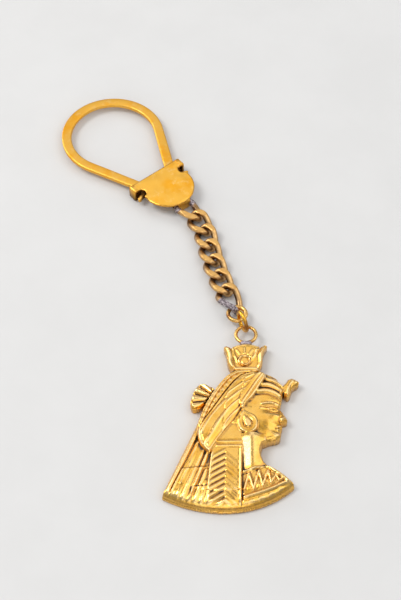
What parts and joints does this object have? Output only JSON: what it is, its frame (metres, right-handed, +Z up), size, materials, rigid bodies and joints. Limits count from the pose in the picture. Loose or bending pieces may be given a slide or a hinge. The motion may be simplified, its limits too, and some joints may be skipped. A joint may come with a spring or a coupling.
{
  "type": "souvenir key chain",
  "caption": "Brass souvenir key chain: a flat cast bust of a crowned queen in profile on small rings, a twisted curb chain and a snap clasp with a sprung key loop.",
  "frame": {"origin": "middle of the object's box, on the surface it lies on", "axes": "+Y from the pendant towards the key loop, +X to the right of the bust's face side, +Z up from the surface, out of the relief"},
  "size_m": [0.0564, 0.1214, 0.0054],
  "materials": {
    "plated_strip": "satin gold plate",
    "chain_brass": "satin brass, flats filed",
    "ring_brass": "polished brass",
    "cast_gold": "polished gold plate with dark patina in the recesses",
    "solder": "dull grey solder"
  },
  "bodies": {
    "pendant": {"bust": "cast_gold", "pendant_ring": "ring_brass", "ring_solder": "solder"},
    "joining_ring": {"joining_ring": "ring_brass"},
    "chain_ring": {"chain_ring": "ring_brass"},
    "chain_link_7": {"chain_link_7": "chain_brass"},
    "chain_link_6": {"chain_link_6": "chain_brass"},
    "chain_link_5": {"chain_link_5": "chain_brass"},
    "chain_link_4": {"chain_link_4": "chain_brass"},
    "chain_link_3": {"chain_link_3": "chain_brass"},
    "chain_link_2": {"chain_link_2": "chain_brass"},
    "chain_link_1": {"chain_link_1": "chain_brass"},
    "clasp_plate": {"clasp_plate": "plated_strip"},
    "key_loop": {"key_loop": "plated_strip"}
  },
  "joints": [
    {"name": "joining_ring_swing", "type": "hinge", "parent": "pendant", "child": "joining_ring", "pos_m": [0.01642, -0.01164, 0.0021], "axis": [-0.9945, -0.1045, 0], "range_deg": [-50, 50]},
    {"name": "chain_ring_turn", "type": "hinge", "parent": "joining_ring", "child": "chain_ring", "pos_m": [0.01522, -0.00893, 0.00134], "axis": [-0.2494, 0.5602, 0.79], "range_deg": [-45, 45]},
    {"name": "end_link_swing", "type": "hinge", "parent": "chain_ring", "child": "chain_link_7", "pos_m": [0.01413, -0.0058, 0.00194], "axis": [-0.9613, -0.2756, 0], "range_deg": [-9, 30]},
    {"name": "link_6_bend", "type": "hinge", "parent": "chain_link_7", "child": "chain_link_6", "pos_m": [0.01168, 0.00027, 0.00139], "axis": [0.6542, 0.303, 0.693], "range_deg": [-15, 24]},
    {"name": "link_5_bend", "type": "hinge", "parent": "chain_link_6", "child": "chain_link_5", "pos_m": [0.0107, 0.00307, 0.00145], "axis": [0.6677, 0.1915, -0.7193], "range_deg": [-20, 15]},
    {"name": "link_4_bend", "type": "hinge", "parent": "chain_link_5", "child": "chain_link_4", "pos_m": [0.00891, 0.00932, 0.00145], "axis": [0.6677, 0.1915, 0.7193], "range_deg": [-15, 20]},
    {"name": "link_3_bend", "type": "hinge", "parent": "chain_link_4", "child": "chain_link_3", "pos_m": [0.00826, 0.01221, 0.00145], "axis": [0.6819, 0.1325, -0.7193], "range_deg": [-20, 20]},
    {"name": "link_2_bend", "type": "hinge", "parent": "chain_link_3", "child": "chain_link_2", "pos_m": [0.00702, 0.01859, 0.00145], "axis": [0.6819, 0.1325, 0.7193], "range_deg": [-28, 10]},
    {"name": "link_1_bend", "type": "hinge", "parent": "chain_link_2", "child": "chain_link_1", "pos_m": [0.00567, 0.02128, 0.0016], "axis": [0.5399, 0.4372, -0.7193], "range_deg": [-28, 5]},
    {"name": "clasp_swing", "type": "hinge", "parent": "chain_link_1", "child": "clasp_plate", "pos_m": [0.00283, 0.02479, 0.0016], "axis": [0, 0, 1], "range_deg": [-28, 30]},
    {"name": "loop_slide", "type": "slide", "parent": "clasp_plate", "child": "key_loop", "axis": [-0.6293, 0.7771, 0], "range_m": [-0.0003, 0.0007]}
  ]
}
